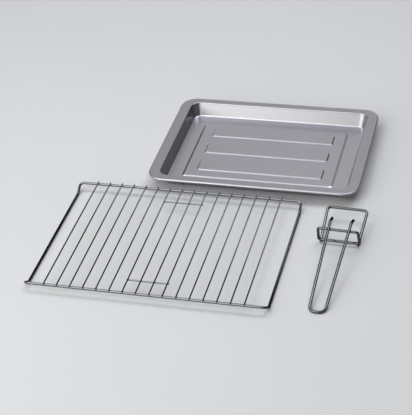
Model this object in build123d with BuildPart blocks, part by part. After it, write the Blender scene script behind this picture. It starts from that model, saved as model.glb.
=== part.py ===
"""Accessory set of a mini oven: a baking tray, a wire rack and the wire handle that lifts the tray.

Millimetres, +Z up, +Y away from the viewer. The three things stand apart on one table, z = 0.
The origin is the middle of the set's footprint, on the table.
"""

import os
from math import asin, atan2, cos, degrees, hypot, radians, sin, sqrt, tan

from build123d import *

os.makedirs("parts", exist_ok=True)

# Tray, pressed from one sheet
tray_width = 341.4  # over the rolled rim, along X
tray_depth = 251.4  # over the rolled rim, along Y
tray_height = 22.5  # table to the top of the rim
tray_sheet = 0.8
rim_radius = 2.1  # outside radius of the rolled edge
rim_corner = 26.0  # outer corner radius in plan
side_flange = 16.0  # wall to rolled edge, left and right
front_flange = 12.0  # wall to rolled edge, front and back
side_wall_run = 5.2  # how far the left and right walls lean out on their way up
front_wall_run = 8.1  # the same for the front and back walls
wall_corner_top = 14.0
wall_corner_foot = 11.0
shoulder_fillet = 1.2  # wall to flange, on the upper side
foot_fillet = 2.4  # floor to wall, inside

# Raised field in the tray's floor, and the three broad ribs on it
field_width = 241.0
field_depth = 157.0
field_corner = 4.0
field_rise = 1.2
rib_count = 3
rib_pitch = 50.6
rib_width = 203.0
rib_depth = 24.0
rib_corner = 2.5
rib_rise = 1.5
rib_setback = 2.3  # the ribs' middle lies this far behind the tray's middle
press_run = 2.0  # plan width of each pressed slope
field_side_run = 3.5  # plan width of the field's slopes on the left and right

# Rack, welded from round wire
rack_width = 362.0  # between the side rails' centres
rack_depth = 259.0  # between the end bars' centres
frame_wire = 4.0  # diameter
bar_lift = 10.7  # the end bars lie this much higher than the side rails
ramp_angle = 35.0  # slope of the bends that carry the bars
bar_corner = 7.0  # bend radius from ramp to bar, on the wire's centre
ramp_bend = 6.0  # bend radius from rail to ramp, on the wire's centre
cross_wire_count = 16
cross_wire = 2.2  # diameter
side_gap = 31.0  # side rail to the outermost cross wire, between centres
cross_wire_overhang = 3.0  # beyond the end bars' centres
catch_wire_count = 4  # cross wires that each catch bar spans
catch_overhang = 2.0  # beyond the outer two of them
front_catch_inset = 28.5  # behind the front bar
rear_catch_inset = 33.0  # before the rear bar
weld_depth = 0.25  # crossing wires are melted into each other by this much

# Handle, welded from three bent wires
handle_wire = 4.2  # diameter
handle_tilt = 17.0  # the panel rises at this angle, because the grip's end rests on the table
handle_turn = 2.6  # the handle points this much to the right of +Y
panel_foot_width = 56.6  # between the side wires' centres at their cut ends
panel_spread = 2.3  # how far each side wire leans out on its way to the end wire
panel_length = 65.0  # from the upright's foot to the end wire's centre
panel_corner = 6.0
panel_overrun = 1.0  # the cut ends reach this far past the upright's foot
upright_overhang = 2.9  # the loop's side wires stand this far outside the panel's cut ends
upright_lean = 1.3  # how far each of them leans in on its way up
upright_height = 27.9  # between the loop's two bars
upright_corner = 3.5
grip_reach = 161.7  # level distance from the upright's foot to the grip's rounded end
grip_spread = 30.8  # between the legs' centres where they cross the upright's top bar
grip_end_width = 23.4  # the same where the rounded end begins
grip_end_corner = 10.0
grip_offset = 2.2  # the grip is welded this much to the right of the upright's middle
hook_start = 13.0  # the legs run on straight past the top bar
hook_length = 15.0
hook_angle = 32.0  # the hooks are bent down from the legs by this angle
hook_bend = 5.0
cut_chamfer = 0.3  # on the cut ends of the handle's wires

# Spacing of the three things on the table
tray_gap = 11.0  # rack's back tips to the tray's front edge
tray_shift = 95.3  # the tray's middle lies this much to the right of the rack's
handle_gap = 37.9  # rack's right side to the handle
handle_setback = 47.1  # the upright's foot lies this far behind the rack's middle

frame_radius = frame_wire / 2
cross_radius = cross_wire / 2
cross_wire_pitch = (rack_width - 2 * side_gap) / (cross_wire_count - 1)
cross_wire_length = rack_depth + 2 * cross_wire_overhang
catch_length = (catch_wire_count - 1) * cross_wire_pitch + 2 * catch_overhang
handle_radius = handle_wire / 2
panel_end_width = panel_foot_width + 2 * panel_spread
upright_foot_width = panel_foot_width + 2 * upright_overhang
upright_top_width = upright_foot_width - 2 * upright_lean


def raised_field(middle, width, depth, corner, side_run, bottom, rise):
    """A low flat-topped field with sloping edges; width and depth are those of its top."""
    with BuildPart() as field:
        with BuildSketch(Plane((middle[0], middle[1], bottom))):
            RectangleRounded(width + 2 * side_run, depth + 2 * press_run, corner + press_run)
        with BuildSketch(Plane((middle[0], middle[1], bottom + rise))):
            RectangleRounded(width, depth, corner)
        loft(ruled=True)
    return field.part


def basin(middle, grow, bottom, top):
    """The space between the tray's leaning walls, grown sideways by the sheet for the outside."""
    with BuildPart() as space:
        with BuildSketch(Plane((middle[0], middle[1], bottom))):
            RectangleRounded(
                2 * (wall_half_width - side_wall_run + grow),
                2 * (wall_half_depth - front_wall_run + grow),
                wall_corner_foot + grow,
            )
        with BuildSketch(Plane((middle[0], middle[1], top))):
            RectangleRounded(
                2 * (wall_half_width + grow),
                2 * (wall_half_depth + grow),
                wall_corner_top + grow,
            )
        loft(ruled=True)
    return space.part


# The set's footprint: the rack and the tray behind one another, the handle right of the rack
turn_cos = cos(radians(handle_turn))
turn_sin = sin(radians(handle_turn))
tilt_cos = cos(radians(handle_tilt))
tilt_sin = sin(radians(handle_tilt))
handle_left_reach = turn_cos * upright_foot_width / 2 + handle_radius
panel_flare = panel_spread / (panel_length + panel_overrun)
handle_right_reach = (
    turn_cos * (panel_end_width / 2 - panel_corner * (1 + panel_flare))
    + turn_sin * tilt_cos * (panel_length - panel_corner)
    + panel_corner
    + handle_radius
)
set_width = rack_width + frame_wire + handle_gap + handle_left_reach + handle_right_reach
set_depth = cross_wire_length + tray_gap + tray_depth
rack_x = -set_width / 2 + frame_radius + rack_width / 2
rack_y = -set_depth / 2 + cross_wire_length / 2
tray_x = rack_x + tray_shift
tray_y = set_depth / 2 - tray_depth / 2
handle_x = set_width / 2 - handle_right_reach
handle_y = rack_y + handle_setback

# Tray pan: leaning walls, flange and rolled rim, with a raised field and ribs in the floor
rim_half_width = tray_width / 2 - rim_radius
rim_half_depth = tray_depth / 2 - rim_radius
rim_z = tray_height - rim_radius
wall_half_width = rim_half_width - side_flange
wall_half_depth = rim_half_depth - front_flange
rib_middles = [
    (tray_x, tray_y + rib_setback + (number - (rib_count - 1) / 2) * rib_pitch)
    for number in range(rib_count)
]

tray_outside = basin((tray_x, tray_y), tray_sheet, 0, tray_height)
tray_inside = basin((tray_x, tray_y), 0, tray_sheet, tray_height)
field_size = (field_width, field_depth, field_corner, field_side_run)
rib_size = (rib_width, rib_depth, rib_corner, press_run)
rib_bottom = tray_sheet + field_rise
field_top = raised_field((tray_x, tray_y), *field_size, tray_sheet, field_rise)
field_hollow = raised_field((tray_x, tray_y), *field_size, 0, field_rise)
rib_tops = [raised_field(middle, *rib_size, rib_bottom, rib_rise) for middle in rib_middles]
rib_hollows = [raised_field(middle, *rib_size, field_rise, rib_rise) for middle in rib_middles]

with BuildPart() as tray_pan:
    add(tray_outside)
    with BuildSketch(Plane((tray_x, tray_y, tray_height - tray_sheet))):
        RectangleRounded(2 * rim_half_width, 2 * rim_half_depth, rim_corner - rim_radius)
    extrude(amount=tray_sheet)
    add(tray_inside, mode=Mode.SUBTRACT)
    floor_face = tray_pan.faces().filter_by(Plane.XY).filter_by_position(Axis.Z, tray_sheet, tray_sheet).last
    fillet(floor_face.edges(), radius=foot_fillet)
    under_face = tray_pan.faces().filter_by(Plane.XY).sort_by(Axis.Z).first
    fillet(under_face.edges(), radius=foot_fillet + tray_sheet)
    rim_face = tray_pan.faces().filter_by(Plane.XY).sort_by(Axis.Z).last
    fillet(rim_face.inner_wires()[0].edges(), radius=shoulder_fillet)
    with BuildLine(Plane((tray_x, tray_y, rim_z))) as rim_line:
        FilletPolyline(
            (-rim_half_width, -rim_half_depth),
            (rim_half_width, -rim_half_depth),
            (rim_half_width, rim_half_depth),
            (-rim_half_width, rim_half_depth),
            radius=rim_corner - rim_radius,
            close=True,
        )
    # The rolled edge is an open curl: three quarters of a ring, hung from the flange's border
    with BuildSketch(Plane(rim_line.line @ 0, x_dir=(0, 1, 0), z_dir=rim_line.line % 0)):
        Circle(rim_radius)
        Circle(rim_radius - tray_sheet, mode=Mode.SUBTRACT)
        Rectangle(rim_radius, rim_radius, align=(Align.MAX, Align.MAX), mode=Mode.SUBTRACT)
    sweep(path=rim_line.line)
    add(field_top)
    add(field_hollow, mode=Mode.SUBTRACT)
    for rib_top in rib_tops:
        add(rib_top)
    for rib_hollow in rib_hollows:
        add(rib_hollow, mode=Mode.SUBTRACT)
tray_pan.part.label = "tray_pan"
export_step(tray_pan.part, "parts/tray_pan.step")

# Rack frame: one wire whose ends climb a short ramp from the side rails to each end bar.
# Its right half is swept and mirrored.
bar_z = frame_radius + bar_lift
ramp_run = bar_lift / tan(radians(ramp_angle))
rail_end_y = rack_depth / 2 - ramp_run
with BuildPart() as rack_frame:
    with BuildLine(Plane((rack_x, rack_y, 0))) as frame_line:
        FilletPolyline(
            (0, -rack_depth / 2, bar_z),
            (rack_width / 2, -rack_depth / 2, bar_z),
            (rack_width / 2, -rail_end_y, frame_radius),
            (rack_width / 2, rail_end_y, frame_radius),
            (rack_width / 2, rack_depth / 2, bar_z),
            (0, rack_depth / 2, bar_z),
            radius=[bar_corner, ramp_bend, ramp_bend, bar_corner],
        )
    with BuildSketch(Plane(frame_line.line @ 0, z_dir=frame_line.line % 0)):
        Circle(frame_radius)
    sweep(path=frame_line.line)
    mirror(about=Plane((rack_x, rack_y, 0), z_dir=(1, 0, 0)))
rack_frame.part.label = "rack_frame"
export_step(rack_frame.part, "parts/rack_frame.step")

# Cross wires: straight, side by side on top of both end bars
cross_z = bar_z + frame_radius + cross_radius - weld_depth
for number in range(cross_wire_count):
    wire_x = rack_x + (number - (cross_wire_count - 1) / 2) * cross_wire_pitch
    with BuildPart() as cross_rod:
        with BuildSketch(Plane((wire_x, rack_y, cross_z), z_dir=(0, 1, 0))):
            Circle(cross_radius)
        extrude(amount=cross_wire_length / 2, both=True)
    name = f"cross_wire_{number + 1:02d}"
    cross_rod.part.label = name
    export_step(cross_rod.part, f"parts/{name}.step")

# Catch bars: two short rods welded under the middle cross wires
catch_z = cross_z - cross_wire + weld_depth
front_catch_y = -rack_depth / 2 + front_catch_inset
rear_catch_y = rack_depth / 2 - rear_catch_inset
for name, catch_y in (("front_catch_bar", front_catch_y), ("rear_catch_bar", rear_catch_y)):
    with BuildPart() as catch_bar:
        with BuildSketch(Plane((rack_x, rack_y + catch_y, catch_z), z_dir=(1, 0, 0))):
            Circle(cross_radius)
        extrude(amount=catch_length / 2, both=True)
    catch_bar.part.label = name
    export_step(catch_bar.part, f"parts/{name}.step")

# The handle's planes: the turned table top, the panel rising from its cut ends, the upright on it
turned_plane = Plane(Location((handle_x, handle_y, 0), (0, 0, -handle_turn)))
panel_z = handle_radius * tilt_cos + panel_overrun * tilt_sin
panel_plane = Plane(turned_plane.location * Location((0, 0, panel_z), (handle_tilt, 0, 0)))
foot_rise = handle_wire - weld_depth
upright_plane = Plane(panel_plane.location * Location((0, 0, foot_rise), (90, 0, 0)))

# Panel: the wire that goes under the tray's floor, open towards the grip
with BuildPart() as panel_wire:
    with BuildLine(panel_plane) as panel_line:
        FilletPolyline(
            (-panel_foot_width / 2, -panel_overrun),
            (-panel_end_width / 2, panel_length),
            (panel_end_width / 2, panel_length),
            (panel_foot_width / 2, -panel_overrun),
            radius=panel_corner,
        )
    with BuildSketch(Plane(panel_line.line @ 0, z_dir=panel_line.line % 0)):
        Circle(handle_radius)
    sweep(path=panel_line.line)
    chamfer(panel_wire.faces().filter_by(GeomType.PLANE).edges(), length=cut_chamfer)
panel_wire.part.label = "panel_wire"
export_step(panel_wire.part, "parts/panel_wire.step")

# Upright: a closed loop standing on the panel's side wires, square to them
with BuildPart() as upright_loop:
    with BuildLine(upright_plane) as upright_line:
        FilletPolyline(
            (-upright_foot_width / 2, 0),
            (upright_foot_width / 2, 0),
            (upright_top_width / 2, upright_height),
            (-upright_top_width / 2, upright_height),
            radius=upright_corner,
            close=True,
        )
    with BuildSketch(Plane(upright_line.line @ 0, z_dir=upright_line.line % 0)):
        Circle(handle_radius)
    sweep(path=upright_line.line)
upright_loop.part.label = "upright_loop"
export_step(upright_loop.part, "parts/upright_loop.step")

# Grip: its rounded end lies on the table, its legs on the upright's top bar, and its hooks
# are bent down beyond the bar. All lengths here run along the legs from the rounded end.
top_bar_y = -tilt_sin * (foot_rise + upright_height)
top_bar_z = panel_z + tilt_cos * (foot_rise + upright_height)
bar_distance = hypot(grip_reach + top_bar_y, top_bar_z - handle_radius)
bar_slope = atan2(top_bar_z - handle_radius, grip_reach + top_bar_y)
grip_slope = bar_slope + asin(foot_rise / bar_distance)
crossing = sqrt(bar_distance**2 - foot_rise**2)
leg_flare = (grip_spread - grip_end_width) / 2 / (crossing - grip_end_width / 2)
hook_root = crossing + hook_start
hook_tip = hook_root + hook_length * cos(radians(hook_angle))
hook_drop = hook_length * sin(radians(hook_angle))


def half_spread(along):
    """Half the distance between the legs at a given distance along them."""
    return grip_spread / 2 + leg_flare * (along - crossing)


grip_place = Location((grip_offset, -grip_reach, handle_radius), (degrees(grip_slope), 0, 0))
with BuildPart() as grip_wire:
    with BuildLine(Plane(turned_plane.location * grip_place)) as grip_line:
        FilletPolyline(
            (-half_spread(hook_tip), hook_tip, -hook_drop),
            (-half_spread(hook_root), hook_root, 0),
            (-half_spread(0), 0, 0),
            (half_spread(0), 0, 0),
            (half_spread(hook_root), hook_root, 0),
            (half_spread(hook_tip), hook_tip, -hook_drop),
            radius=[hook_bend, grip_end_corner, grip_end_corner, hook_bend],
        )
    with BuildSketch(Plane(grip_line.line @ 0, z_dir=grip_line.line % 0)):
        Circle(handle_radius)
    sweep(path=grip_line.line)
    chamfer(grip_wire.faces().filter_by(GeomType.PLANE).edges(), length=cut_chamfer)
grip_wire.part.label = "grip_wire"
export_step(grip_wire.part, "parts/grip_wire.step")
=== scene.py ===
"""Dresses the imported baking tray, wire rack and tray handle, and lights them for one picture."""

import math

import bmesh
import bpy
from mathutils import Matrix, Vector


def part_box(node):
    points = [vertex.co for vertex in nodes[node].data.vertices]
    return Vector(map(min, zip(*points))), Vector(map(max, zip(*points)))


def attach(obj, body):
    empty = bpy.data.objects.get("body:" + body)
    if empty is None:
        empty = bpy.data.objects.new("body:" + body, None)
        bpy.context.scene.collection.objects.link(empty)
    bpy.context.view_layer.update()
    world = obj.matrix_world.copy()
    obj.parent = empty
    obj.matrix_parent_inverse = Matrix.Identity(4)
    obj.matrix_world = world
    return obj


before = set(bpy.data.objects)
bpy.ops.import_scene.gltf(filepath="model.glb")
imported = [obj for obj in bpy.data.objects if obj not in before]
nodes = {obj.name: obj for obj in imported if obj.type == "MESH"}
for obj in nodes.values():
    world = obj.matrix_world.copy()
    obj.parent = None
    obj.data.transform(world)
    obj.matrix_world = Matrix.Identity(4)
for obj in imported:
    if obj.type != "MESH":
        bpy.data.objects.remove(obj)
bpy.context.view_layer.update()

# The view: a camera a good two metres off, looking down at the set from the front and the right.
# Its picture is 412 by 415 pixels, and the sensor's 36 mm lie along the longer side.
view_data = bpy.data.cameras.new("view")
view_data.lens = 115.39
view_data.sensor_width = 36.0
view_data.clip_start = 0.05
view_data.clip_end = 30.0
view_camera = bpy.data.objects.new("view", view_data)
view_camera.location = (0.48154, -1.64633, 1.20845)
view_camera.rotation_euler = [math.radians(turn) for turn in (54.4872, 4.1739, 14.2003)]
bpy.context.scene.collection.objects.link(view_camera)
bpy.context.scene.camera = view_camera
bpy.context.scene.view_settings.view_transform = "Standard"

# The table: a sheet of smooth white laminate that runs out of the picture on all sides. It is matt,
# and cool white with a very faint mottle.
MM = 0.001
TABLE_SIDE = 8000 * MM
MOTTLE_SIZE = 1000 / 3 * MM  # three faint patches to the metre


def linear(hex_colour):
    """An sRGB hex colour as linear red, green, blue and alpha."""
    values = [int(hex_colour[i : i + 2], 16) / 255 for i in (1, 3, 5)]
    return [v / 12.92 if v <= 0.04045 else ((v + 0.055) / 1.055) ** 2.4 for v in values] + [1.0]


def add_node(tree, kind, settings=None, inputs=None):
    """Adds a node, sets its properties, and fills its inputs with values or nodes' outputs."""
    made = tree.nodes.new(kind)
    for name, value in (settings or {}).items():
        setattr(made, name, value)
    for name, value in (inputs or {}).items():
        if isinstance(value, bpy.types.NodeSocket):
            tree.links.new(value, made.inputs[name])
        else:
            made.inputs[name].default_value = value
    return made


table_mesh = bpy.data.meshes.new("table")
table_top = bmesh.new()
bmesh.ops.create_grid(table_top, x_segments=4, y_segments=4, size=TABLE_SIDE / 2)
table_top.to_mesh(table_mesh)
table_top.free()
table = bpy.data.objects.new("table", table_mesh)
bpy.context.scene.collection.objects.link(table)

laminate = bpy.data.materials.new("white_laminate")
laminate.use_nodes = True
tree = laminate.node_tree
tree.nodes.clear()
place = add_node(tree, "ShaderNodeTexCoord")
mottle = add_node(
    tree,
    "ShaderNodeTexNoise",
    inputs={
        "Vector": place.outputs["Object"],
        "Scale": 1 / MOTTLE_SIZE,
        "Detail": 2.0,
        "Roughness": 0.5,
    },
)
white = add_node(
    tree,
    "ShaderNodeMix",
    {"data_type": "RGBA"},
    {"Factor": mottle.outputs["Fac"], 6: linear("#c2c3c4"), 7: linear("#c6c7c7")},
)
surface = add_node(
    tree,
    "ShaderNodeBsdfPrincipled",
    inputs={"Base Color": white.outputs[2], "Roughness": 0.75, "Specular IOR Level": 0.2},
)
add_node(tree, "ShaderNodeOutputMaterial", inputs={"Surface": surface.outputs[0]})
table_mesh.materials.append(laminate)

# The light: a dim studio with a pale ceiling, grey walls at the left and in front, a dark right
# side and a pale screen behind the set. Three soft lamps hang high over the set, behind it and at
# its sides, and three stand before it and at its left.
studio = bpy.data.worlds.new("studio")
bpy.context.scene.world = studio
studio.use_nodes = True
tree = studio.node_tree
tree.nodes.clear()
place = add_node(tree, "ShaderNodeTexCoord")
sides = add_node(tree, "ShaderNodeSeparateXYZ", inputs={"Vector": place.outputs["Generated"]})
room = {}
# The light of each part changes along one side of the looking direction: X to the right, Y to the
# back or Z up. A row says where on it the change starts and ends, and the light at both.
for name, side, start, end, start_light, end_light in (
    ("ceiling", "Z", 0.84, 0.96, 0.02, 1.2),
    ("screen", "Y", 0.745, 0.775, 0.0, 1.6),
    ("screen_top", "Y", 0.775, 0.825, 1.0, 0.43),
    ("left_end", "X", -0.5, -0.38, 0.1, 1.0),
    ("right_end", "X", 0.06, 0.34, 1.0, 0.12),
    ("left_wall", "X", -0.8, -0.62, 0.6, 0.0),
    ("front_wall", "Y", -0.55, -0.3, 0.5, 0.0),
):
    fade = add_node(
        tree,
        "ShaderNodeMapRange",
        {"interpolation_type": "SMOOTHSTEP"},
        {
            "Value": sides.outputs[side],
            "From Min": start,
            "From Max": end,
            "To Min": start_light,
            "To Max": end_light,
        },
    )
    room[name] = fade.outputs[0]
# The screen fades at its top and at both its ends, the front wall fades towards the right, and
# the brightest of all the parts shows.
for name, operation, one, other in (
    ("screen_width", "MULTIPLY", "left_end", "right_end"),
    ("screen_face", "MULTIPLY", "screen", "screen_top"),
    ("whole_screen", "MULTIPLY", "screen_face", "screen_width"),
    ("whole_front", "MULTIPLY", "front_wall", "right_end"),
    ("walls", "MAXIMUM", "left_wall", "whole_front"),
    ("high_parts", "MAXIMUM", "ceiling", "whole_screen"),
    ("all_parts", "MAXIMUM", "high_parts", "walls"),
):
    joined = add_node(
        tree, "ShaderNodeMath", {"operation": operation}, {0: room[one], 1: room[other]}
    )
    room[name] = joined.outputs[0]
glow = add_node(
    tree,
    "ShaderNodeBackground",
    inputs={"Color": linear("#fbfcff"), "Strength": room["all_parts"]},
)
add_node(tree, "ShaderNodeOutputWorld", inputs={"Surface": glow.outputs[0]})

LAMP_DISTANCE = 2.0  # metres from the middle of the set
# Each lamp's rise and its bearing clockwise from straight behind, in degrees, its width and
# height in metres, its radiance and its colour.
for name, rise, bearing, width, height, radiance, colour in (
    ("overhead_left_lamp", 60, -70, 0.9, 0.9, 2.9, "#ffffff"),
    ("overhead_back_lamp", 66, -10, 1.1, 1.1, 1.6, "#ffffff"),
    ("overhead_right_lamp", 62, 48, 0.9, 0.9, 4.1, "#f4f6ff"),
    ("front_upper_lamp", 48, -152, 1.0, 1.0, 4.0, "#ffffff"),
    ("front_lower_lamp", 18, -155, 1.5, 0.9, 2.2, "#fdfef6"),
    ("left_lower_lamp", 22, -125, 1.0, 1.0, 2.7, "#ffffff"),
):
    lamp_data = bpy.data.lights.new(name, "AREA")
    lamp_data.shape = "RECTANGLE"
    lamp_data.size = width
    lamp_data.size_y = height
    lamp_data.color = linear(colour)[:3]
    lamp_data.energy = radiance * math.pi * width * height
    lamp = bpy.data.objects.new(name, lamp_data)
    floor_distance = LAMP_DISTANCE * math.cos(math.radians(rise))
    lamp.location = (
        floor_distance * math.sin(math.radians(bearing)),
        floor_distance * math.cos(math.radians(bearing)),
        LAMP_DISTANCE * math.sin(math.radians(rise)),
    )
    lamp.rotation_euler = (-lamp.location).to_track_quat("-Z", "Y").to_euler()
    bpy.context.scene.collection.objects.link(lamp)

# The tray: pressed from one brushed steel sheet. The finish is satin: soft broad reflections, with
# fine dark and light grain lines that run along the tray and a very faint cloudiness. The flange
# is tinted a little darker than the rest.
GRAIN_SPACING = 0.9 * MM  # from line to line, coarser than real so that it shows in the picture
GRAIN_LENGTH = 30.0 * MM
GRAIN_DEPTH = 0.02 * MM
CLOUD_SIZE = 60.0 * MM
CLOUD_SHARE = 0.5  # of the sheet's tint, beside the grain's
FLANGE_FOOT = 19.0 * MM  # the height at which the flange's darker tone begins
FLANGE_TOP = 21.0 * MM  # the height from which it is at its full strength
steel = bpy.data.materials.new("brushed_steel_sheet")
steel.use_nodes = True
tree = steel.node_tree
tree.nodes.clear()
place = add_node(tree, "ShaderNodeTexCoord")
along = add_node(
    tree,
    "ShaderNodeMapping",
    inputs={"Vector": place.outputs["Object"], "Scale": (GRAIN_SPACING / GRAIN_LENGTH, 1.0, 1.0)},
)
grain = add_node(
    tree,
    "ShaderNodeTexNoise",
    inputs={
        "Vector": along.outputs[0],
        "Scale": 1 / GRAIN_SPACING,
        "Detail": 4.0,
        "Roughness": 0.65,
    },
)
clouds = add_node(
    tree,
    "ShaderNodeTexNoise",
    inputs={"Vector": place.outputs["Object"], "Scale": 1 / CLOUD_SIZE, "Detail": 3.0},
)
grain_rough = add_node(
    tree,
    "ShaderNodeMapRange",
    inputs={"Value": grain.outputs["Fac"], "To Min": 0.27, "To Max": 0.38},
)
grain_tint = add_node(
    tree,
    "ShaderNodeMix",
    {"data_type": "RGBA"},
    {"Factor": grain.outputs["Fac"], 6: linear("#929196"), 7: linear("#cdccd1")},
)
cloud_tint = add_node(
    tree,
    "ShaderNodeMix",
    {"data_type": "RGBA"},
    {"Factor": clouds.outputs["Fac"], 6: linear("#adacb2"), 7: linear("#b6b6bb")},
)
sheet_tint = add_node(
    tree,
    "ShaderNodeMix",
    {"data_type": "RGBA"},
    {"Factor": CLOUD_SHARE, 6: grain_tint.outputs[2], 7: cloud_tint.outputs[2]},
)
height = add_node(tree, "ShaderNodeSeparateXYZ", inputs={"Vector": place.outputs["Object"]})
flange_part = add_node(
    tree,
    "ShaderNodeMapRange",
    inputs={"Value": height.outputs["Z"], "From Min": FLANGE_FOOT, "From Max": FLANGE_TOP},
)
tray_tint = add_node(
    tree,
    "ShaderNodeMix",
    {"data_type": "RGBA", "blend_type": "MULTIPLY"},
    {"Factor": flange_part.outputs[0], 6: sheet_tint.outputs[2], 7: linear("#efefef")},
)
grain_bump = add_node(
    tree,
    "ShaderNodeBump",
    inputs={"Strength": 0.3, "Distance": GRAIN_DEPTH, "Height": grain.outputs["Fac"]},
)
surface = add_node(
    tree,
    "ShaderNodeBsdfPrincipled",
    inputs={
        "Base Color": tray_tint.outputs[2],
        "Metallic": 1.0,
        "Roughness": grain_rough.outputs[0],
        "Normal": grain_bump.outputs[0],
    },
)
add_node(tree, "ShaderNodeOutputMaterial", inputs={"Surface": surface.outputs[0]})
nodes["tray_pan"].material_slots[0].material = steel

# The rack's frame: a 4 mm steel wire bent to a rectangle, and chrome plated after welding. The
# plating is a bright mirror with a slight ripple left by the drawn wire; its tone is painted dark,
# as painted shade.
RIPPLE_DEPTH = 0.03 * MM
# Painted shade: the grazing tone is set far darker than chrome's own, so the wires' sides show
# dark.
PAINTED_DARK_EDGE_TONE = "#606266"  # what the plating shows at a grazing angle


def chrome_plate(name, tone, sheen, ripple):
    """Chrome plating: its tone, painted darker than chrome's own as painted shade, its lowest and
    highest roughness, and its ripple's length.
    """
    plating = bpy.data.materials.new(name)
    plating.use_nodes = True
    tree = plating.node_tree
    tree.nodes.clear()
    place = add_node(tree, "ShaderNodeTexCoord")
    waves = add_node(
        tree,
        "ShaderNodeTexNoise",
        inputs={"Vector": place.outputs["Object"], "Scale": 1 / ripple, "Detail": 3.0},
    )
    rough = add_node(
        tree,
        "ShaderNodeMapRange",
        inputs={"Value": waves.outputs["Fac"], "To Min": sheen[0], "To Max": sheen[1]},
    )
    bump = add_node(
        tree,
        "ShaderNodeBump",
        inputs={"Strength": 0.15, "Distance": RIPPLE_DEPTH, "Height": waves.outputs["Fac"]},
    )
    surface = add_node(
        tree,
        "ShaderNodeBsdfPrincipled",
        inputs={
            "Base Color": linear(tone),
            "Metallic": 1.0,
            "Roughness": rough.outputs[0],
            "Specular Tint": linear(PAINTED_DARK_EDGE_TONE),
            "Normal": bump.outputs[0],
        },
    )
    add_node(tree, "ShaderNodeOutputMaterial", inputs={"Surface": surface.outputs[0]})
    return plating


frame_plating_painted_dark = chrome_plate(
    "chrome_plated_frame_wire", tone="#6c6d71", sheen=(0.03, 0.07), ripple=2.5 * MM
)
nodes["rack_frame"].material_slots[0].material = frame_plating_painted_dark

# The sixteen cross wires, and the two short catch bars under the middle ones: 2.2 mm wire, welded
# and plated together with the frame. The thin wires' tone is painted paler than the frame's and the
# bars', though the plating is the same: painted light and shade.
cross_wires = sorted(name for name in nodes if name.startswith("cross_wire_"))
catch_bars = ("front_catch_bar", "rear_catch_bar")
wire_plating_painted_paler = chrome_plate(
    "chrome_plated_wire", tone="#98999c", sheen=(0.03, 0.07), ripple=2.5 * MM
)
for name in cross_wires:
    nodes[name].material_slots[0].material = wire_plating_painted_paler
for name in catch_bars:
    nodes[name].material_slots[0].material = frame_plating_painted_dark

# The rack's welds: wherever a cross wire lies on a bar, current has melted the two together, and
# squeezed a little metal out into a flat collar round the joint, wider along the bar than along
# the cross wire. The same plating covers it, but looks duller over the rougher metal.
END_BAR_INSET = 3.0 * MM  # from a cross wire's tip to the end bar's middle
WELD_SINK = 0.25 * MM  # how deep the melted wires lie in each other
UP = (0, 0, 1)
COLLAR_SIDES = 8
# A collar's section from its top to its foot, as shares of its half width and of its height.
COLLAR_EDGE = (
    (0.0, 0.45),
    (0.66, 0.50),
    (0.94, 0.26),
    (1.0, 0.0),
    (0.97, -0.24),
    (0.7, -0.5),
    (0.0, -0.45),
)
BAR_COLLAR = (1.5 * MM, 1.15 * MM, 0.7 * MM)  # half its width, half its length, its height
CATCH_COLLAR = (1.25 * MM, 1.0 * MM, 0.6 * MM)
# Painted shade: the welds' plating tone is set darker than chrome's own.
weld_plating_painted_dark = chrome_plate(
    "chrome_plated_weld", tone="#77787c", sheen=(0.12, 0.2), ripple=0.8 * MM
)


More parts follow.
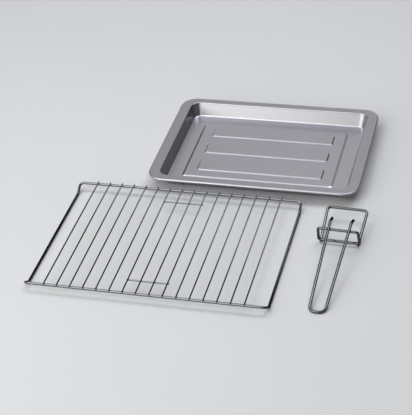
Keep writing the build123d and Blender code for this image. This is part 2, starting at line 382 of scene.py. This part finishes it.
def add_collars(name, joints, size, body):
    """One piece with a weld collar at each joint: its place, and the way from wire to wire."""
    collar = bmesh.new()
    edge_points = [collar.verts.new((radius, 0, rise)) for radius, rise in COLLAR_EDGE]
    edge_lines = [collar.edges.new(pair) for pair in zip(edge_points, edge_points[1:])]
    bmesh.ops.spin(
        collar,
        geom=edge_points + edge_lines,
        cent=(0, 0, 0),
        axis=UP,
        angle=2 * math.pi,
        steps=COLLAR_SIDES,
        use_merge=True,
    )
    bmesh.ops.remove_doubles(collar, verts=collar.verts, dist=1e-4)
    bmesh.ops.recalc_face_normals(collar, faces=collar.faces)
    for face in collar.faces:
        face.smooth = True
    one_mesh = bpy.data.meshes.new("one_collar")
    all_collars = bmesh.new()
    for place, lean in joints:
        set_collar = collar.copy()
        turn = Vector(lean).to_track_quat("Z", "Y").to_matrix().to_4x4()
        fitted = Matrix.Translation(place) @ turn @ Matrix.Diagonal((*size, 1))
        bmesh.ops.transform(set_collar, matrix=fitted, verts=set_collar.verts)
        set_collar.to_mesh(one_mesh)
        set_collar.free()
        all_collars.from_mesh(one_mesh)
    mesh = bpy.data.meshes.new(name)
    all_collars.to_mesh(mesh)
    all_collars.free()
    collar.free()
    bpy.data.meshes.remove(one_mesh)
    mesh.materials.append(weld_plating_painted_dark)
    piece = bpy.data.objects.new(name, mesh)
    bpy.context.scene.collection.objects.link(piece)
    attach(piece, body)


bar_joints = []
catch_joints = []
for wire in cross_wires:
    low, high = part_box(wire)
    middle = (low.x + high.x) / 2
    joint_height = low.z + WELD_SINK / 2
    for end in (low.y + END_BAR_INSET, high.y - END_BAR_INSET):
        bar_joints.append((Vector((middle, end, joint_height)), UP))
    for bar in catch_bars:
        bar_low, bar_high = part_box(bar)
        if bar_low.x < middle < bar_high.x:
            bar_middle = (bar_low.y + bar_high.y) / 2
            catch_joints.append((Vector((middle, bar_middle, joint_height)), UP))
add_collars("rack_bar_welds", bar_joints, BAR_COLLAR, "rack")
add_collars("rack_catch_welds", catch_joints, CATCH_COLLAR, "rack")

# The handle: the panel that goes under the tray, the upright loop and the grip, three bent 4.2 mm
# steel wires, welded and then chrome plated to a smoother mirror than the rack; their tone is
# painted darker than the rack's, as painted shade.
rod_plating_painted_dark = chrome_plate(
    "chrome_plated_rod", tone="#5e5f63", sheen=(0.02, 0.05), ripple=4.0 * MM
)
for name in ("panel_wire", "upright_loop", "grip_wire"):
    nodes[name].material_slots[0].material = rod_plating_painted_dark

# The handle's welds: two collars where the upright stands on the panel's side wires, and two where
# the grip's legs lie on the upright's top bar. A lean is the way from the lower wire to the upper.
ROD_COLLAR = (2.2 * MM, 2.0 * MM, 1.1 * MM)
UPRIGHT_LEAN = (-0.013, -0.292, 0.956)
GRIP_LEAN = (-0.010, -0.222, 0.975)
upright_joints = [
    (Vector((172.74, -83.39, 4.19)) * MM, UPRIGHT_LEAN),
    (Vector((229.35, -85.96, 4.19)) * MM, UPRIGHT_LEAN),
]
grip_joints = [
    (Vector((187.44, -93.24, 34.68)) * MM, GRIP_LEAN),
    (Vector((218.21, -94.64, 34.68)) * MM, GRIP_LEAN),
]
add_collars("upright_welds", upright_joints, ROD_COLLAR, "handle")
add_collars("grip_welds", grip_joints, ROD_COLLAR, "handle")
